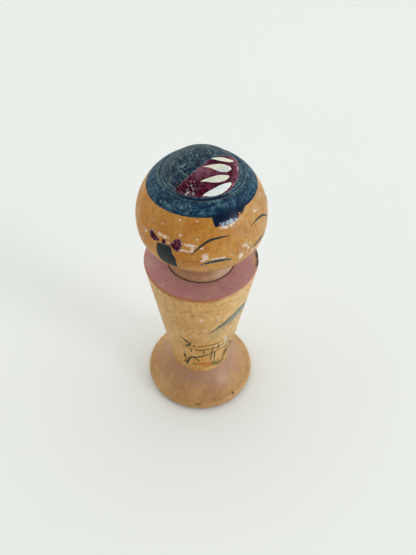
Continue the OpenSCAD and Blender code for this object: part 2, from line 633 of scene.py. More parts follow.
def foot_material():
    def stain(look, colour):
        """The same stain on the top of the foot, thinning out towards the rim."""
        ragged = look.band(look.noise(0.12, 5, 0.6), 0.25, 0.75, -2.2, 2.2)
        out = look.plus(look.radius, ragged)
        amount = look.band(out, 13.0, 23.5, 0.72, 0.0)
        warm = look.mix(look.band(look.x, -22.0, 6.0), STAIN_WARM, STAIN_COOL)
        return look.mix(amount, colour, warm)

    return lacquer_wood("foot_lacquer", (0.52, 0.325, 0.145), (0.42, 0.235, 0.09), stain, 0.5)


def neck_material():
    look = Look("neck_bare_wood", roughness=0.6)
    colour, fibres, pores = wood_figure(look, (0.60, 0.37, 0.21), (0.48, 0.28, 0.15), (0.24, 0.13, 0.08))
    # Painted shade: the neck darkens towards its top, under the overhang of the head.
    ragged = look.band(look.noise(0.25, 4, 0.6), 0.3, 0.7, -0.8, 0.8)
    chin_shade = look.band(look.plus(look.z, ragged), TOP_Z + 1.6, TOP_Z + 4.2, 0.0, 0.85)
    colour = look.mix(chin_shade, colour, NECK_CHIN_SHADE)
    # Painted light: the neck is paler on its +X side, which faces the window light.
    colour = look.mix(look.band(look.x, -6.0, 0.0, 0.0, 0.6), colour, NECK_LIT)
    dirt = look.band(look.noise(0.4, 5, 0.6, stretch=(1, 1, 2.0)), 0.35, 0.7, 0, 0.4)
    colour = look.mix(dirt, colour, NECK_DIRT)
    foot_of_it = look.band(look.z, TOP_Z - 0.1, TOP_Z + 0.3, 0.8, 0.0)
    colour = look.mix(foot_of_it, colour, NECK_SHADE)
    height = look.plus(fibres, look.noise(1.0, 2, 0.5, at=look.join(0.0, 0.0, look.z), stretch=(1, 1, 5)))
    return look.finish(colour, 0.55, look.bump(height, 0.06))


def hair_material():
    """Blue-black paint, rubbed grey and scratched in arcs round the axis."""
    look = Look("hair_paint", coat=0.12, coat_roughness=0.22, specular=0.07)
    broad = look.noise(0.40, 5, 0.65)
    arcs = look.noise(1.0, 5, 0.65, at=look.around(2.4, 1.2))
    hairlines = look.noise(1.0, 3, 0.6, at=look.around(1.3, 3.6))
    dust = look.noise(1.25, 6, 0.78)
    rub = look.mark("rub")
    dome = look.mark("dome")
    patches = look.band(broad, 0.38, 0.60, 0.2, 1.0)
    grain = look.band(dust, 0.42, 0.56, 0.15, 1.0)
    amount = look.times(patches, grain)
    lined = look.times(look.band(arcs, 0.50, 0.66), look.band(dome, 0.0, 1.0, 0.4, 0.8))
    amount = look.plus(amount, lined)
    amount = look.times(amount, look.band(rub, 0.0, 1.0, 0.02, 1.2))
    rubbed = look.mix(dome, RUBBED, DOME_RUBBED)
    colour = look.mix(look.calc("MINIMUM", amount, 1.0), NAVY, rubbed)
    bloom = look.times(look.band(broad, 0.47, 0.60), look.band(dust, 0.47, 0.58))
    bloom = look.times(bloom, look.band(rub, 0.4, 1.0, 0.0, 0.75))
    colour = look.mix(bloom, colour, look.mix(dome, BLOOM, DOME_BLOOM))
    scratch = look.times(look.band(hairlines, 0.55, 0.62), look.band(arcs, 0.40, 0.58))
    scratch = look.times(scratch, look.band(rub, 0.35, 0.95, 0.0, 0.85))
    scratch = look.times(scratch, look.band(dome, 0.0, 1.0, 0.3, 1.0))
    colour = look.mix(scratch, colour, SCRATCH)
    gouge = look.times(look.band(hairlines, 0.46, 0.40), look.band(broad, 0.40, 0.55))
    colour = look.mix(look.times(gouge, 0.8), colour, GOUGE)
    edges = look.times(look.mark("ridge"), look.band(dust, 0.36, 0.58, 0.1, 1.0))
    colour = look.mix(look.times(edges, 0.9), colour, RING_PALE)
    chips = look.noise(0.9, 6, 0.78, twist=0.4)
    limit = look.minus(0.73, look.times(look.mark("scuff"), 0.32))
    hit = look.times(look.minus(chips, limit), 16.0, clamp=True)
    colour = look.mix(look.times(hit, 0.85), colour, HAIR_CHIP)
    rough = look.band(amount, 0.0, 0.9, 0.3, 0.6)
    height = look.minus(look.times(arcs, 0.5), look.times(scratch, 0.4))
    height = look.plus(height, look.times(dust, 0.3))
    return look.finish(colour, rough, look.bump(height, 0.10))


def comb_material(name, flecked):
    """Maroon paint laid on unevenly, dusty in patches and chipped along its edge."""
    look = Look(name, roughness=0.42, coat=0.03, coat_roughness=0.35, specular=0.05)
    broad = look.noise(0.35, 4, 0.6)
    grain = look.noise(1.2, 6, 0.75)
    dust = look.noise(0.85, 6, 0.78, twist=0.4)
    colour = look.mix(look.band(broad, 0.42, 0.60), MAROON, MAROON_LIGHT)
    colour = look.mix(look.band(grain, 0.54, 0.42, 0.0, 0.75), colour, MAROON_DARK)
    worn_edge = look.minus(1.0, look.mark("inner"))
    dusty = look.times(look.band(dust, 0.50, 0.64), look.band(broad, 0.42, 0.58, 0.05, 0.5))
    dusty = look.calc("MAXIMUM", dusty, look.times(worn_edge, look.band(dust, 0.40, 0.58, 0.0, 0.7)))
    faded = look.times(look.mark("faded"), look.band(dust, 0.34, 0.58, 0.1, 0.85))
    dusty = look.calc("MAXIMUM", dusty, faded)
    colour = look.mix(dusty, colour, MAROON_DUST)
    limit = look.minus(0.66 - 0.08 * flecked, look.times(worn_edge, 0.09))
    limit = look.minus(limit, look.times(look.mark("flecks"), 0.16))
    hit = look.times(look.minus(grain, limit), 20.0, clamp=True)
    colour = look.mix(look.times(hit, 0.9), colour, MAROON_CHIP)
    height = look.minus(look.times(grain, 0.4), hit)
    return look.finish(colour, look.band(dust, 0.3, 0.7, 0.34, 0.55), look.bump(height, 0.06))


def paint_material(name, tone, thin, wear=0.35, speck=(0.6, 0.55, 0.5), gloss=0.35, scale=1.0):
    """Brushed paint whose colour pools and thins, with the wood or bare paint showing at worn spots."""
    look = Look(name, coat=0.15, coat_roughness=0.3, specular=0.25)
    pool = look.noise(0.9 * scale, 4, 0.6)
    bristle = look.noise(1.0 * scale, 4, 0.7, stretch=(1.5, 1.5, 4.5))
    colour = look.mix(look.band(pool, 0.3, 0.75, 0.0, 0.7), tone, thin)
    colour = look.mix(look.band(bristle, 0.5, 0.75, 0.0, 0.5), colour, thin)
    chips = look.noise(1.5 * scale, 6, 0.75, twist=0.5)
    edge = look.times(look.minus(1.0, look.mark("inner")), 0.1)
    limit = look.minus(0.80 - 0.22 * wear, edge)
    hit = look.times(look.minus(chips, limit), 16.0, clamp=True)
    colour = look.mix(look.times(look.mark("cool"), 0.6), colour, PETAL_SHADE)
    colour = look.mix(look.times(hit, 0.8), colour, speck)
    height = look.minus(look.times(bristle, 0.5), hit)
    return look.finish(colour, gloss, look.bump(height, 0.05))


# ---- turned pieces


def latitudes(low, high):
    """Latitudes up the head, close together where the crease and the grooves are."""
    out, at = [], low
    while at < high:
        out.append(at)
        near = min(abs(at - g[0]) for g in GROOVES)
        at += 0.2 if near < 1.0 or abs(at - HOLLOW_LAT) < 3.6 else 0.62
    return out + [high]


def make_head():
    top_lat = 89.6
    seat_lat = degrees(atan2(SEAT_Z - HEAD_Z, SEAT_R))
    profile = [(0, SEAT_Z + TENON_LEN), (TENON_R, SEAT_Z + TENON_LEN), (TENON_R, SEAT_Z)]
    profile += line((TENON_R, SEAT_Z), (SEAT_R - 0.25, SEAT_Z), 4)[1:] + [(SEAT_R - 0.25, SEAT_Z)]
    for lat in latitudes(seat_lat + 0.7, top_lat):
        far = head_reach(lat)
        profile.append((far * cos(radians(lat)), HEAD_Z + far * sin(radians(lat))))
    profile.append((0, HEAD_Z + head_reach(90)))
    piece = lathe("head_wood", profile, 256, head_material(), "head")
    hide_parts("head")

    def scuff(x, y, z):
        return min(strongest(azimuth_of(x, y), latitude_of(x, y, z), HEAD_SCUFFS, WEAR_SPREAD), 1.1)

    def haze(x, y, z):
        azimuth, lat = azimuth_of(x, y), latitude_of(x, y, z)
        # Paler on the front and the doll's left, facing the window: partly rubbed lacquer, partly painted
        # sheen.
        front = ramp(-30, 12, azimuth) * (1 - ramp(95, 140, azimuth))
        # Painted light: the low face at the doll's right is made paler, as if lit from below.
        low = exp(-(((azimuth + 30) / 60) ** 2) - ((lat + 14) / 9) ** 2)
        return max(0.38 * front, 0.30 * low)

    def grime_and_shade(x, y, z):
        azimuth, lat = azimuth_of(x, y), latitude_of(x, y, z)
        # Painted shade: darker on the underside of the head next to its seat on the neck. The smudge is a
        # thin dark mark beside the right eye.
        seat = 1 - ramp(seat_lat, seat_lat + 4, lat)
        smudge = exp(-(((azimuth + 43.5) / 7) ** 2) - ((lat + 1.7) / 0.7) ** 2)
        return min(0.35 * seat + 0.55 * smudge, 1.0)

    paint_points(piece, "haze", haze)
    paint_points(piece, "scuff", scuff)
    paint_points(piece, "grime_and_shade", grime_and_shade)
    return piece


# Worn places on the head: azimuth, latitude, half width, half height and strength.
WEAR_SPREAD = 1.3
HEAD_SCUFFS = (
    (-46.5, 15.2, 6.5, 1.6, 1.3), (-49, 9.4, 6.0, 1.6, 1.2), (-42.8, 12.3, 2.2, 3.4, 1.15),
    (-37, 13.4, 4.6, 1.3, 1.15), (-54.5, 22.5, 2.6, 1.2, 1.1), (-39.2, 21, 1.8, 1.6, 1.2),
    (-33.5, 4.6, 3.2, 4.0, 1.3), (-35, 0.4, 2.6, 2.0, 1.2), (-21, 1.6, 11, 1.3, 1.15),
    (-70, 16.6, 6.5, 2.0, 1.15), (-64.5, 13.6, 2.0, 3.2, 1.1), (-91, 10.8, 5, 2.8, 1.0),
    (-112, 3, 7, 4, 0.9), (-58, 34.7, 3.0, 1.2, 1.0), (-39.3, 36.2, 3.0, 1.2, 0.95),
    (-13, 29.0, 8, 2.0, 1.1), (-4, 31, 8, 2.2, 0.95), (-1.5, -4.8, 2.2, 3.8, 1.4), (42, 31, 5, 1.4, 0.95),
    (28, 27, 4, 1.0, 0.9), (4, 4, 8, 9, 0.75), (14, -6, 12, 6, 0.72), (24, 30, 14, 6, 0.62),
    (-86, 24, 10, 4, 0.6), (120, 10, 20, 12, 0.55), (180, -5, 24, 14, 0.55), (-140, 5, 18, 12, 0.55),
    (70, 0, 14, 12, 0.55), (-75, 27, 9, 4, 0.6),
)


def make_body():
    sink = TOP_Z - SOCKET_DEPTH
    profile = [(0, body_low.z), (PEG_R, body_low.z), (PEG_R, WAIST_Z), (WAIST_R - 0.1, WAIST_Z)]
    shoulder = TOP_Z - ROUNDING
    profile += line((WAIST_R, WAIST_Z + 0.1), (body_radius(shoulder), shoulder), 160)
    profile += arc(body_radius(shoulder) - ROUNDING, shoulder, ROUNDING, 0, 90, 6)
    profile += line((TOP_R - ROUNDING - 0.4, TOP_Z), (SOCKET_R + 0.5, TOP_Z), 12)
    profile += [(SOCKET_R + 0.25, TOP_Z - 0.08), (SOCKET_R + 0.05, TOP_Z - 0.35), (SOCKET_R, TOP_Z - 1.0)]
    profile += [(SOCKET_R, sink), (0, sink)]
    piece = lathe("body_wood", profile, 320, body_material(), "body")
    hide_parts("body")
    mesh = piece.data
    wash = mesh.attributes.new("wash", "FLOAT_COLOR", "POINT")
    values = []
    for v in mesh.vertices:
        x, y, z = v.co / MM
        values += body_wash(azimuth_of(x, y), z, hypot(x, y))
    wash.data.foreach_set("color", values)

    def scuff(x, y, z):
        edge = 0.45 * ridge(z, TOP_Z, 0.8)
        foot = 0.8 * ridge(z, WAIST_Z, 0.4)
        rubbed = 0.36 + 0.3 * ramble(x * 0.08, y * 0.08, z * 0.05)
        total = max(edge if hypot(x, y) > TOP_R - 2 else 0.0, foot, rubbed)
        return min(max(total, strongest(azimuth_of(x, y), z, BODY_SCUFFS)), 1.2)

    def haze(x, y, z):
        azimuth = azimuth_of(x, y)
        # Paler on the front and the doll's left, facing the window: partly rubbed lacquer, partly painted
        # sheen.
        return 0.6 * ramp(-42, -8, azimuth) * (1 - ramp(80, 130, azimuth))

    def bare(x, y, z):
        azimuth = azimuth_of(x, y)
        turn = turn_from(52, azimuth)
        near_rim = ramp(TOP_R - 3.0, TOP_R - 1.2, hypot(x, y) + ramble(x * 0.7, y * 0.7) * 1.5)
        return near_rim * exp(-((turn / 13) ** 2)) * (0.8 + 0.4 * ramble(x, y, z))

    def grime_and_shade(x, y, z):
        far = hypot(x, y)
        azimuth = azimuth_of(x, y)
        # Painted shade: darker at the mouth of the socket round the neck and throughout the socket's bore.
        # The knock on the rim is grime.
        mouth = (1 - ramp(SOCKET_R, SOCKET_R + 0.35, far)) * ramp(TOP_Z - 2, TOP_Z - 0.2, z)
        inner = 1.0 if far < SOCKET_R + 0.2 and z > sink and z < TOP_Z - 0.5 else 0.0
        turn = turn_from(52, azimuth)
        ragged = far + 0.5 * ramble(x * 0.8, y * 0.8)
        rim = ramp(TOP_R - 1.5, TOP_R - 0.6, ragged) * ramp(-1.6, -0.6, z - TOP_Z)
        knock = rim * exp(-((turn / 12.5) ** 4))
        return min(0.75 * mouth + inner + 1.2 * knock, 1.0)

    paint_points(piece, "scuff", scuff)
    paint_points(piece, "haze", haze)
    paint_points(piece, "bare", bare)
    paint_points(piece, "grime_and_shade", grime_and_shade)
    return piece


# The same on the body, with heights for latitudes.
BODY_SCUFFS = (
    (-35.9, 60.2, 2.2, 0.8, 1.25), (-14.4, 58.6, 2.6, 0.8, 1.35), (-50.6, 64, 2.2, 0.8, 1.05),
    (-7, 68.6, 10, 0.4, 1.0), (-21, 68.4, 3, 0.6, 1.0), (-25, 60.4, 2, 0.7, 0.95),
    (-36, 41.8, 7, 0.7, 0.95), (-30, 43, 8, 2, 0.7),
)


def slope_height(azimuth):
    """Height of the mountain's outline at an azimuth, easing off towards the summit."""
    side = abs(azimuth - 15.0) / 43.0
    return 48.7 + 10.9 * max(1 - side**1.45, 0.0)


def body_wash(azimuth, z, far):
    """Colour and cover of the thin painted washes on the side of the body."""
    if far < body_radius(z) - 0.6:
        return (0.0, 0.0, 0.0, 0.0)
    wander = ramble(azimuth * 0.09, z * 0.3, 2.0)
    if z > 69:
        streak = ridge(z, 73.75 + 0.15 * wander, 0.5) * (1 - ramp(-24, -6, azimuth))
        streak *= ramp(-150, -110, azimuth)
        return (*RUST, min(1.1 * streak, 1.0))
    if z > 42:
        under = slope_height(azimuth) - z
        deep = 2.0 + 6.6 * ramp(-24, 6, azimuth)
        cover = 0.95 * ramp(-0.25, 0.15, under) * (1 - ramp(0.25 * deep, deep, under))
        haze = 0.3 * ramp(0, 0.5, under) * (1 - ramp(5, 13 + 2 * wander, under))
        ends = ramp(-29, -20, azimuth) * (1 - ramp(50, 59, azimuth))
        cool = ramp(-15, 15, azimuth)
        tone = (0.08 + 0.03 * cool, 0.11 + 0.045 * cool, 0.085 + 0.085 * cool)
        return (*tone, ends * max(cover, haze))
    orange = ridge(z, 21.9 + 0.3 * wander, 0.9) * ramp(-47, -40, azimuth)
    orange = max(orange, ridge(z, 19.5 + 0.4 * wander, 0.8) * ramp(-31, -25, azimuth) * 0.9)
    orange *= 1 - ramp(-18, -12, azimuth)
    middle = 20.4 - 2.2 * ridge(azimuth, 4, 9) + 9.0 * ramp(13, 21, azimuth)
    olive = 1.3 * ridge(z, middle, 2.1) * ramp(-18, -13, azimuth) * (1 - ramp(20, 27, azimuth))
    earth = 1.25 * ridge(azimuth, 12.5, 7.0) * ridge(z, 25.6, 4.0)
    if earth > max(olive, orange):
        return (*EARTH, min(earth, 0.95))
    if olive > orange:
        return (*OLIVE, max(min(olive * (0.85 + 0.4 * wander), 0.95), 0.0))
    return (*ORANGE, min(1.35 * orange, 1.0))


def make_foot():
    waist = np.array((WAIST_R, WAIST_Z))
    brim = np.array((FOOT_R - RIM_R, 2 * RIM_R))
    chord = brim - waist
    length = float(np.linalg.norm(chord))
    flare_r = length**2 / (8 * FLARE_SAG) + FLARE_SAG / 2
    outward = np.array((-chord[1], chord[0])) / length
    centre = (waist + brim) / 2 + outward * (flare_r - FLARE_SAG)
    start = degrees(atan2(*(brim - centre)[::-1]))
    end = degrees(atan2(*(waist - centre)[::-1]))
    profile = [(0, 0.0)] + line((3, 0.0), (FOOT_R - RIM_R, 0.0), 12)
    profile += arc(FOOT_R - RIM_R, RIM_R, RIM_R, -90, 82, 30)
    profile += arc(*centre, flare_r, start % 360, end % 360, 60)[1:]
    profile += [(PEG_R, WAIST_Z), (PEG_R, body_low.z), (0, body_low.z)]

    def chipped(p):
        """Dents knocked out of the rim."""
        azimuth = azimuth_of(p.x, p.y)
        flat = hypot(p.x, p.y)
        out = p.copy()
        for at, level, wide, tall, depth in RIM_CHIPS:
            turn = turn_from(at, azimuth)
            reachd = exp(-((turn / wide) ** 4) - ((p.z - level) / tall) ** 4)
            if flat > FOOT_R - 3.5:
                rough = 0.75 + 0.5 * ramble(p.x * 2, p.y * 2, p.z * 2)
                inward = Vector((-p.x / flat, -p.y / flat, -0.45)) * depth * reachd * rough
                out += inward
        return out

    piece = lathe("foot_wood", profile, 384, foot_material(), "body", chipped)
    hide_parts("foot")

    def scuff(x, y, z):
        far = hypot(x, y)
        rim = 0.42 * ridge(far, FOOT_R - 0.6, 0.7)
        return max(rim + 0.2 * ramble(x * 0.3, y * 0.3), 0.2 + 0.3 * ramble(x * 0.1, y * 0.1, 5))

    def grime_and_shade(x, y, z):
        azimuth = azimuth_of(x, y)
        total = 0.0
        for at, level, wide, tall, depth in RIM_CHIPS:
            turn = turn_from(at, azimuth)
            if hypot(x, y) > FOOT_R - 3.5:
                total = max(total, exp(-((turn / wide) ** 4) - ((z - level) / tall) ** 4))
        # Painted shade: darker along the bottom edge, where the foot stands on the floor. The dents in the
        # rim hold grime.
        under = 0.55 * (1 - ramp(0.2, 1.4, z))
        return min(total * 1.1 + under, 1.0)

    paint_points(piece, "scuff", scuff)
    paint_points(piece, "grime_and_shade", grime_and_shade)
    return piece


# Azimuth, height, half width, half height and depth of the dents in the foot's rim.
RIM_CHIPS = (
    (-38.5, 3.55, 3.4, 0.28, 0.4), (4.5, 3.7, 1.5, 0.4, 0.4), (118, 3.2, 2.2, 0.4, 0.3),
    (-150, 3.4, 1.6, 0.4, 0.3),
)


# ---- hair

FRINGE_LEFT = -26.5
FRINGE_RIGHT = 12.5
BRISTLES = (
    (-26.5, 30.7), (-24, 31.0), (-22.6, 30.2), (-20, 31.2), (-16, 30.2), (-12, 30.1), (-9, 30.9),
    (-5, 30.8), (-1, 31.7), (0.6, 32.2), (1.2, 34.6), (1.7, 33.3), (2.4, 33.5), (3.0, 36.2), (4.2, 36.0),
    (4.7, 33.2), (5.5, 33.4), (6.1, 36.4), (7.0, 33.5), (7.8, 33.7), (8.5, 36.8), (9.3, 34.0), (10.4, 37.3),
    (11.4, 36.2),
)


def cap_edge(azimuth):
    """Latitude of the edge of the painted hair, which wavers round the head."""
    a = radians(azimuth)
    return 37.0 + 1.3 * cos(a + 0.6) * 0.6 + 0.9 * cos(2 * a + 1.1) + 0.25 * ramble(azimuth * 0.12, 5.0)


def hair_edge(azimuth):
    """The same with the fringe, whose lower edge is the mark of a stiff brush."""
    cap = cap_edge(azimuth)
    if not FRINGE_LEFT < azimuth < FRINGE_RIGHT:
        return cap
    across = (azimuth - FRINGE_LEFT) / (FRINGE_RIGHT - FRINGE_LEFT)
    lower = np.interp(azimuth, *zip(*BRISTLES)) + 0.35 * abs(ramble(azimuth * 3.1, 9.1))
    side = min(ramp(0, 0.075, across), 1.0) * min((1 - across) / 0.03, 1.0)
    return cap + (lower - cap) * side


# Latitude, half width and strength of the pale worn rings.
WORN_RINGS = (
    (51.3, 0.4, 1.0), (53.6, 0.4, 0.9), (56.8, 0.4, 0.7), (49.6, 0.3, 0.5), (60.5, 0.3, 0.45),
    (64.5, 0.25, 0.35),
)
HAIR_CHIPS = (
    (-86, 41.5, 3, 1.6, 0.85), (-67.5, 44, 3, 1.5, 0.85), (-52, 40.5, 2.5, 1.2, 0.85),
    (-58.3, 44.6, 1.8, 2.0, 0.85), (-62, 58, 3, 1.0, 0.85), (-49, 47.5, 3.5, 2.5, 0.85),
    (64, 53.5, 5, 0.8, 0.85),
)


def make_hair():
    azimuths, at = [], -180.0
    while at < 180:
        azimuths.append(at)
        at += FINE if FRINGE_LEFT - 2 < at < FRINGE_RIGHT + 2 else 1.25
    upper = latitudes(46.0, 89.5)
    lower_rows = 16
    points, columns = [], len(azimuths)
    for azimuth in azimuths:
        edge = hair_edge(azimuth)
        column = [head_spot(azimuth, edge, -0.05), head_spot(azimuth, edge + 0.03, PAINT * 0.4)]
        for k in range(1, lower_rows):
            lat = edge + (46.0 - edge) * (k / lower_rows) ** 1.3
            column.append(head_spot(azimuth, lat, PAINT))
        column += [head_spot(azimuth, lat, PAINT) for lat in upper]
        points += column
    rows = len(points) // columns
    faces = []
    for c in range(columns):
        n = (c + 1) % columns
        for r in range(rows - 1):
            faces.append((c * rows + r, n * rows + r, n * rows + r + 1, c * rows + r + 1))
    top = len(points)
    points.append(Vector((0, 0, HEAD_Z + head_reach(90) + PAINT)))
    for c in range(columns):
        faces.append((top, c * rows + rows - 1, ((c + 1) % columns) * rows + rows - 1))
    piece = new_object("hair_paint", points, faces, hair_material(), "head")

    def shaded(azimuth, lat):
        """Painted shade in the bottom of the crease in front of the comb, where the paint is kept dark."""
        return ridge(lat, 52.7, 1.3) * ramp(-72, -60, azimuth) * (1 - ramp(-14, 10, azimuth))

    def rub(x, y, z):
        """How dusty and rubbed the paint is: most on the dome and the rings, least in the fringe and in the
        painted shade of the crease.
        """
        azimuth, lat = azimuth_of(x, y), latitude_of(x, y, z)
        low = ramp(33, 42, lat)
        fresh = exp(-(((azimuth + 6) / 26) ** 4)) * (1 - ramp(38, 46, lat))
        patchy = 0.2 * ramble(x * 0.2, y * 0.2, z * 0.2)
        dusty = (0.45 + 0.55 * low + patchy) * (1 - 0.95 * fresh) * (1 - 0.9 * shaded(azimuth, lat))
        return max(0.0, min(1.0, dusty))

    def worn_ring(azimuth, lat):
        most = 0.0
        for at, wide, strength in WORN_RINGS:
            here = strength * (0.65 + 0.9 * ramble(azimuth * 0.02, at))
            most = max(most, here * ridge(lat, at, wide))
        # No pale rings in the painted shade of the crease.
        return min(max(most * (1 - shaded(azimuth, lat)), 0.0), 1.0)

    def scuff(x, y, z):
        azimuth, lat = azimuth_of(x, y), latitude_of(x, y, z)
        streak = 0.45 * ramble(azimuth * 0.16 + lat * 0.5, lat * 1.9, 4.0)
        brushed = (1.04 + streak) * exp(-(((azimuth + 9) / 12) ** 4)) * (1 - ramp(32.3, 36.0, lat))
        worn_side = 0.62 * exp(-(((x + 7.6) / 3.2) ** 2) - ((y - 0.2) / 3.4) ** 2)
        return max(brushed, worn_side, 0.25 * ramp(53, 60, lat), strongest(azimuth, lat, HAIR_CHIPS))

    paint_points(piece, "scuff", scuff)
    paint_points(piece, "ridge", on_head(worn_ring))
    paint_points(piece, "dome", on_head(lambda azimuth, lat: ramp(53, 57, lat)))
    paint_points(piece, "rub", rub)
    return piece


# ---- painted details


COMB_FADED = (
    (-4.2, -4.7, 2.3, 0.9), (-2.5, -6.4, 2.0, 0.8), (-5.6, -5.9, 1.6, 0.6), (9.5, -4.3, 1.3, 1.0),
    (9.3, -6.6, 1.3, 1.1), (8.2, -8.7, 1.2, 1.0), (6.4, -10.4, 1.2, 0.8), (3.8, -11.8, 1.0, 0.6),
    (0.6, -8.4, 1.2, 0.5),
)
COMB_FLECKS = (
    (-10.7, -6.9, 1.1, 1.1), (-8.9, -6.2, 0.9, 0.9), (-8.3, -7.6, 1.3, 0.8), (-9.2, -8.1, 1.2, 0.8),
    (9.2, -7.3, 0.9, 1.2), (-6.3, -4.6, 1.2, 0.5),
)
COOL_SHEEN = ((2.0, -8.3, 1.2, 1.0), (3.9, -7.9, 0.9, 0.7), (-1.0, -12.2, 2.6, 0.25))


def spots(x, y, marks):
    """The strongest at (x, y) of some round soft spots, each given as x, y, radius and strength."""
    return max(strong * exp(-(((x - u) ** 2 + (y - v) ** 2) / wide**2)) for u, v, wide, strong in marks)


def paint_ornament(maroon, cream, white):
    """The comb on the front of the bun: a maroon half-moon with four cream petals."""
    back = ((10.5, -2.7), (6.4, -3.0), (1.3, -3.3), (-3.0, -3.8), (-7.1, -3.9), (-10.4, -3.5), (-12.9, -2.5))
    front = []
    for azimuth in np.linspace(-77, 73, 70):
        far = 13.15 - 1.25 * ramp(0, 55, azimuth)
        front.append((far * sin(radians(azimuth)), -far * cos(radians(azimuth))))
    comb = coat("comb_paint", front + curve(back, 8), BUN, 2 * PAINT, maroon)
    paint_points(comb, "faded", lambda x, y, z: spots(x, y, COMB_FADED))
    paint_points(comb, "flecks", lambda x, y, z: spots(x, y, COMB_FLECKS))
    petals = (
        (
            ((1.3, -3.3), (3.3, -4.15), (5.2, -4.75), (7.0, -5.15), (8.6, -5.15)),
            (0.25, 1.3, 1.75, 1.5, 0.5)
        ),
        (
            ((-2.9, -4.5), (-0.9, -5.6), (0.9, -6.7), (2.6, -7.4), (4.2, -7.65), (5.6, -7.75)),
            (0.15, 0.75, 2.0, 2.75, 2.4, 0.9)
        ),
        (
            ((-5.9, -7.6), (-4.2, -8.4), (-2.5, -9.15), (-0.6, -9.7), (1.4, -10.0), (3.2, -10.05)),
            (0.2, 0.85, 1.55, 1.85, 1.5, 0.5)
        ),
        (
            ((-7.2, -10.5), (-4.5, -11.55), (-2.7, -11.9), (-0.9, -12.0), (1.0, -11.95), (2.8, -11.7)),
            (0.2, 1.1, 1.55, 1.7, 1.3, 0.5)
        ),
    )
    for k, (path, widths) in enumerate(petals):
        outline = stroke(BUN, path, widths, 0.04, k)
        tint = white if k == 3 else cream
        petal = coat(f"comb_petal_{k + 1}", outline, BUN, 3.4 * PAINT, tint, 0.35, 2.1 * PAINT)
        paint_points(petal, "cool", lambda x, y, z: spots(x, y, COOL_SHEEN))


def paint_face(ink, blue, red):
    brow = (
        (-44.4, 6.3), (-40.9, 10.9), (-37.4, 14.4), (-33.9, 17.4), (-29.7, 20.0), (-24.8, 21.1),
        (-18.8, 21.5), (-12.1, 21.1)
    )
    other_brow = ((12.1, 19.8), (18, 20.7), (24, 20.2), (31, 17.9), (36, 14.2), (41.5, 7.5))
    eye = ((-37.8, -5.6), (-33.5, -3.5), (-28.5, -1.8), (-23, -1.2), (-17, -1.5), (-10.1, -3.4))
    other_eye = ((10.1, -3.4), (15.6, -2.2), (21, -1.6), (26.5, -2.2), (32, -3.6), (36.8, -5.8))
    strokes = (
        ("brow_right", brow, (0.2, 0.6, 0.85, 0.7, 0.2), ink),
        ("brow_left", other_brow, (0.2, 0.6, 0.8, 0.6, 0.2), ink),
        ("eye_right", eye, (0.3, 0.9, 1.35, 1.1, 0.3), blue),
        ("eye_left", other_eye, (0.3, 1.05, 1.3, 0.9, 0.3), blue),
    )
    for k, (name, path, widths, paint) in enumerate(strokes):
        brush(name, HEAD, path, widths, 0.1, k, paint)
    mouth = ((-4.2, -22.4), (-1.6, -21.4), (0, -21.9), (1.6, -21.4), (4.2, -22.4))
    brush("mouth", HEAD, mouth, (0.2, 0.8, 0.7, 0.8, 0.2), 0.06, 9, red)


SIDE_LOCK = (
    (-75.3, 7.2), (-72.6, 8.9), (-69, 9.5), (-64.8, 10.2), (-62.6, 9.8), (-61.0, 6.6), (-60.6, 3.2),
    (-58.5, 0.5),
    (-57.4, -5), (-57.2, -13.2), (-62.5, -14), (-67, -13.6), (-71.5, -12.6), (-74.4, -8.6), (-75.8, -3),
    (-76, 3),
)
BERRIES = (
    ((-84.3, 16.3), (-82.6, 17.4), (-79.6, 15.6), (-77.4, 13.7), (-73.8, 12.3),
     (-73.6, 10.4), (-76, 8.9), (-80.6, 7.8), (-83.6, 9.2), (-85.4, 12.6)),
    ((-70.6, 13.8), (-67.4, 14.4), (-66.6, 12.2), (-67.4, 9.6), (-70, 9.7), (-71.2, 11.6)),
    ((-58.6, 18.2), (-54.3, 19.2), (-52.6, 16.3), (-52.8, 12.0), (-55.0, 7.9),
     (-57, 6.5), (-59.6, 8.4), (-62.8, 11.5), (-61.1, 14.6)),
)


def paint_side(side, lock_paint, berry_paint):
    """A side lock with the berries above it. side is -1 for the doll's right and 1 for its left."""
    name = "right" if side < 0 else "left"
    shift = 0.5 if side > 0 else 0.0

    def placed(outline):
        return smooth_outline([(u * -side + shift, v) for u, v in outline], 4)

    coat(f"side_lock_{name}", placed(SIDE_LOCK), HEAD, PAINT, lock_paint, 0.5)
    for k, outline in enumerate(BERRIES):
        coat(f"berry_{name}_{k + 1}", placed(outline), HEAD, 1.5 * PAINT, berry_paint, 0.35)


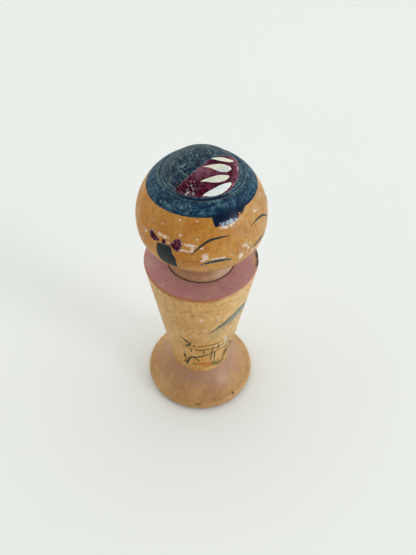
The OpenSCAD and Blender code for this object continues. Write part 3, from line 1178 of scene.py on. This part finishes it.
def paint_landscape(ink, slate, dirt, chalk):
    """The mountain, the bridge and the pine strokes on the front of the body."""
    left_slope = [(a, slope_height(a) - 0.25) for a in (-28, -22, -15, -8, 0, 8, 15)]
    right_slope = [(a, slope_height(a) - 0.25) for a in (15, 22, 30, 38, 45, 52, 58)]
    for name, path, widths in (
        ("right", left_slope, (0.1, 0.4, 0.6, 0.8, 0.8)), ("left", right_slope, (0.8, 0.8, 0.6, 0.4, 0.1))
    ):
        brush(f"mountain_slope_{name}", BODY, path, widths, 0.2, 3, slate, 0.35)
    lines = {
        "bridge_rail_top": (
            ((-40.4, 38.5), (-32, 38.8), (-16, 39.0), (-4, 39.4), (12, 39.2), (26, 38.7), (40, 38.3)),
            (0.4, 0.6, 0.5, 0.5, 0.4)
        ),
        "bridge_rail_low": (
            ((-43.4, 35.6), (-39, 35.0), (-28, 35.3), (-13, 35.5), (6, 35.4), (22, 35.2), (38, 34.8)),
            (0.7, 0.7, 0.6, 0.5, 0.4)
        ),
        "bridge_deck": (
            (
                (-59.2, 21.6), (-56.1, 24.9), (-52.3, 27.2), (-47.3, 28.2), (-41.4, 28.6), (-27.6, 30.2),
                (-16.3, 31.8)
            ),
            (0.5, 0.8, 1.1, 0.9, 0.8)
        ),
        "bridge_deck_far": (
            ((-17.5, 31.6), (-10, 31.9), (5, 32.3), (20, 31.4), (36, 29.4), (50, 27)), (0.7, 0.6, 0.5, 0.4)
        ),
        "bridge_post_1": (((-31.6, 35.0), (-30.8, 31.7)), (0.6, 0.5)),
        "bridge_post_2": (((-16.6, 36.4), (-18.2, 33.0), (-19.4, 31.2)), (0.5, 0.6)),
        "bridge_post_3": (((-8.0, 37.6), (-8.4, 33.4)), (0.5, 0.5)),
        "bridge_post_4": (((14, 35.3), (14.6, 32.3)), (0.4, 0.4)),
        "bridge_pile_1": (((-18.0, 30.4), (-18.7, 24.4)), (0.6, 0.35)),
        "bridge_pile_2": (((-12.9, 31.8), (-11.4, 23.2)), (0.6, 0.35)),
        "bridge_pile_3": (((24, 31.0), (24.4, 25.0)), (0.5, 0.35)),
        "bridge_pile_4": (((30.5, 30.2), (31, 24.6)), (0.5, 0.35)),
        "pine_branch_1": (((-63, 44.4), (-58.8, 42.7), (-53.6, 40.8)), (0.3, 0.8, 1.5)),
        "pine_branch_2": (((-49.6, 41.7), (-53.0, 38.8), (-58.6, 37.0)), (0.4, 1.3, 0.8)),
        "pine_branch_3": (((-56.2, 36.3), (-51, 35.8), (-50.4, 33.0)), (0.3, 0.5, 0.5)),
        "pine_branch_4": (((-61.9, 29.3), (-62.9, 26.6), (-60.4, 25.2)), (1.0, 0.8, 0.5)),
        "pine_branch_5": (((-68, 20.9), (-63.1, 22.8), (-55, 24.0)), (0.4, 0.9, 0.5)),
        "pine_branch_6": (((-53.8, 27.2), (-58.4, 23.4), (-61.6, 19.8)), (0.6, 1.0, 0.9)),
        "pine_branch_7": (((-46.5, 27.8), (-42, 26.4), (-37.6, 24.4)), (0.8, 0.5, 0.6)),
        "pine_branch_8": (((-50.5, 21.6), (-46, 22.2), (-42, 22.0)), (0.3, 0.7, 0.3)),
    }
    olive = ("pine_branch_3", "pine_branch_5", "pine_branch_7", "pine_branch_8")
    for k, (name, (path, widths)) in enumerate(lines.items()):
        brush(name, BODY, path, widths, 0.16, k, dirt if name in olive else ink)
    dabs = (
        ((-45.5, 38.6), 1.2, 1.1, dirt), ((-45.6, 28.4), 1.6, 1.2, ink), ((2.2, 39.8), 1.7, 1.7, chalk),
        ((3.6, 36.8), 0.8, 1.6, chalk), ((-51.8, 66.2), 0.8, 0.35, dirt), ((-44.5, 63.1), 1.5, 0.35, dirt),
        ((-33.9, 62.7), 0.7, 0.4, dirt), ((-48, 68.8), 0.8, 0.3, dirt), ((-84, 72.3), 1.2, 0.4, dirt),
        ((-76, 72.5), 1.0, 0.4, dirt), ((-68, 73.0), 0.9, 0.35, dirt),
    )
    for k, (centre, across, tall, paint) in enumerate(dabs):
        coat(f"dab_{k + 1}", blob(BODY, centre, across, tall, 0.25, k), BODY, 1.6 * PAINT, paint, 0.3)


# ---- the doll

make_head()
make_hair()
make_body()
make_foot()
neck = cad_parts["neck"]
for kept in neck.material_slots:
    kept.material = neck_material()

maroon = comb_material("maroon_paint", 0.35)
berry = comb_material("berry_paint", 0.9)
cream = paint_material("cream_paint", CREAM, (0.50, 0.50, 0.40), 0.3, (0.74, 0.74, 0.7), 0.4)
white = paint_material("white_paint", (0.74, 0.77, 0.73), (0.60, 0.62, 0.58), 0.3, (0.78, 0.80, 0.80), 0.4)
ink = paint_material("ink_line", INK, (0.07, 0.075, 0.055), 0.3, (0.3, 0.26, 0.17), 0.5, 1.6)
blue = paint_material(
    "eye_paint", (0.006, 0.022, 0.042), (0.04, 0.08, 0.11), 0.85, (0.5, 0.54, 0.52), 0.45, 1.4
)
lock_paint = paint_material(
    "lock_paint", (0.003, 0.007, 0.009), (0.022, 0.03, 0.03), 0.35, (0.16, 0.14, 0.09), 0.4, 0.7
)
slate = paint_material(
    "slate_paint", (0.06, 0.085, 0.08), (0.15, 0.165, 0.13), 0.45, (0.35, 0.25, 0.12), 0.5
)
thin_ink = paint_material(
    "bridge_ink", (0.018, 0.024, 0.019), (0.15, 0.12, 0.065), 0.8, (0.44, 0.3, 0.13), 0.5, 1.9
)
dirt = paint_material(
    "olive_line", (0.05, 0.042, 0.015), (0.14, 0.10, 0.035), 0.4, (0.45, 0.3, 0.13), 0.5, 1.4
)
chalk = paint_material("chalk_dab", (0.55, 0.60, 0.63), (0.40, 0.43, 0.44), 0.3, (0.7, 0.72, 0.72), 0.5)
red = paint_material("mouth_paint", (0.30, 0.02, 0.02), (0.36, 0.07, 0.04), 0.3, (0.5, 0.3, 0.15), 0.4)

paint_ornament(maroon, cream, white)
paint_face(ink, blue, red)
paint_side(-1, lock_paint, berry)
paint_side(1, lock_paint, berry)
paint_landscape(thin_ink, slate, dirt, chalk)


# ---- floor, light and camera

CAMERA_AZIMUTH = -36.3
CAMERA_ELEVATION = 48.68
CAMERA_DISTANCE = 235.3
AIM_Z = 62.4
CAMERA_ROLL = 0.5
CAMERA_SHIFT = 0.01263
LENS = 38.92
EXPOSURE = 0.33
GAMMA = 0.85
ROOM_LIGHT = 1.05
ROOM_TINT = (0.975, 1.0, 0.985, 1)
WINDOW_TINT = (0.97, 0.985, 1.0)
FLOOR_HALF = 12.0


def direction(azimuth, elevation):
    a, e = radians(azimuth), radians(elevation)
    return Vector((sin(a) * cos(e), -cos(a) * cos(e), sin(e)))


def make_floor():
    look = Look("paper_floor", roughness=0.9, specular=0.1)
    tone = look.mix(look.noise(0.004, 2), (0.80, 0.81, 0.79), (0.83, 0.835, 0.82))
    material = look.finish(tone)
    mesh = bpy.data.meshes.new("floor")
    mesh.from_pydata(
        [(x * FLOOR_HALF, y * FLOOR_HALF, 0) for x, y in ((-1, -1), (1, -1), (1, 1), (-1, 1))], [],
        [(0, 1, 2, 3)]
    )
    mesh.materials.append(material)
    floor = bpy.data.objects.new("floor", mesh)
    bpy.context.scene.collection.objects.link(floor)
    floor.location.z = -0.00002


def make_light(name, azimuth, elevation, distance, size, power, tint):
    lamp = bpy.data.lights.new(name, "AREA")
    lamp.shape = "DISK"
    lamp.size = size
    lamp.energy = power
    lamp.color = tint
    held = bpy.data.objects.new(name, lamp)
    bpy.context.scene.collection.objects.link(held)
    back = direction(azimuth, elevation)
    held.location = Vector((0, 0, AIM_Z * MM)) + back * distance
    held.rotation_mode = "QUATERNION"
    held.rotation_quaternion = (-back).to_track_quat("-Z", "Y")


def make_world():
    """An even pale room, dimmer behind the camera."""
    world = bpy.data.worlds.new("studio")
    world.use_nodes = True
    tree = world.node_tree
    sky = tree.nodes["Background"]
    place = tree.nodes.new("ShaderNodeTexCoord")
    towards = tree.nodes.new("ShaderNodeVectorMath")
    towards.operation = "DOT_PRODUCT"
    towards.inputs[1].default_value = direction(CAMERA_AZIMUTH, 55)
    tree.links.new(place.outputs["Generated"], towards.inputs[0])
    level = tree.nodes.new("ShaderNodeMapRange")
    level.interpolation_type = "SMOOTHSTEP"
    level.inputs["From Min"].default_value = 0.55
    level.inputs["From Max"].default_value = 0.97
    level.inputs["To Min"].default_value = ROOM_LIGHT
    level.inputs["To Max"].default_value = ROOM_LIGHT * 0.3
    tree.links.new(towards.outputs["Value"], level.inputs["Value"])
    tree.links.new(level.outputs["Result"], sky.inputs["Strength"])
    sky.inputs["Color"].default_value = ROOM_TINT
    bpy.context.scene.world = world


def make_camera():
    camera = bpy.data.cameras.new("camera")
    camera.lens = LENS
    camera.shift_x = CAMERA_SHIFT
    camera.clip_start = 0.01
    held = bpy.data.objects.new("camera", camera)
    bpy.context.scene.collection.objects.link(held)
    back = direction(CAMERA_AZIMUTH, CAMERA_ELEVATION)
    held.location = Vector((0, 0, AIM_Z * MM)) + back * CAMERA_DISTANCE * MM
    turn = (-back).to_track_quat("-Z", "Y").to_euler()
    held.rotation_euler = turn
    held.rotation_euler.rotate_axis("Z", radians(CAMERA_ROLL))
    bpy.context.scene.camera = held


make_floor()
make_world()
make_light("window", CAMERA_AZIMUTH + 60, 14, 3.0, 0.90, 21.6, WINDOW_TINT)
make_camera()
shown = bpy.context.scene.view_settings
shown.view_transform = "Standard"
shown.exposure = EXPOSURE
shown.gamma = GAMMA
